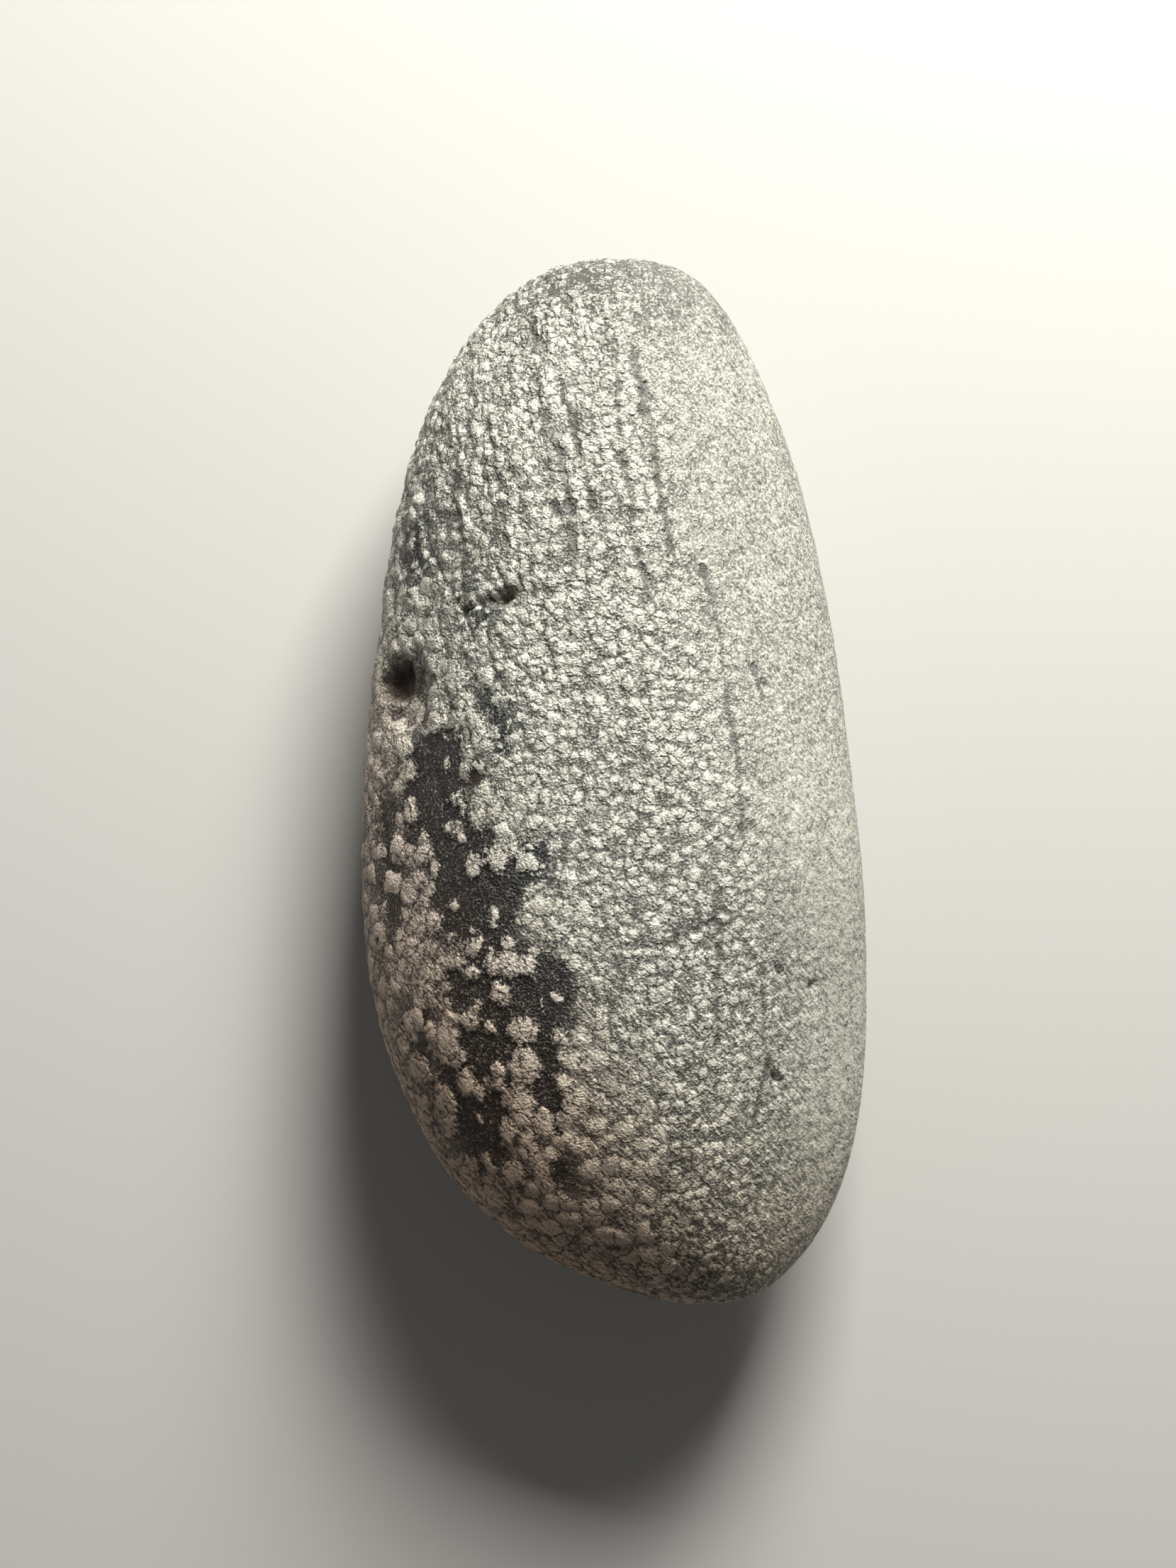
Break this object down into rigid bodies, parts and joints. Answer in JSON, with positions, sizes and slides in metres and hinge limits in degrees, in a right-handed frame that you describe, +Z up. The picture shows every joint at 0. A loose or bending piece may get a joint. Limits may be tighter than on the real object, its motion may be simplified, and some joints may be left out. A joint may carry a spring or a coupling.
{
  "type": "snowflake obsidian pebble",
  "caption": "Egg-shaped, sea-tumbled pebble of snowflake obsidian with a bevelled side and a chipped hollow; lies on a small flat spot.",
  "frame": {"origin": "on the resting surface, under the middle of the stone's outline", "axes": "+Z up out of the resting surface, +Y along the stone towards its narrow end, +X across it towards the bevelled side"},
  "size_m": [0.0244, 0.051, 0.017],
  "materials": {
    "obsidian": "matte, sea-frosted glass crowded with pale grey snowflake granules, darker bare glass at one side"
  },
  "bodies": {
    "root": {"obsidian_pebble": "obsidian"}
  },
  "joints": []
}
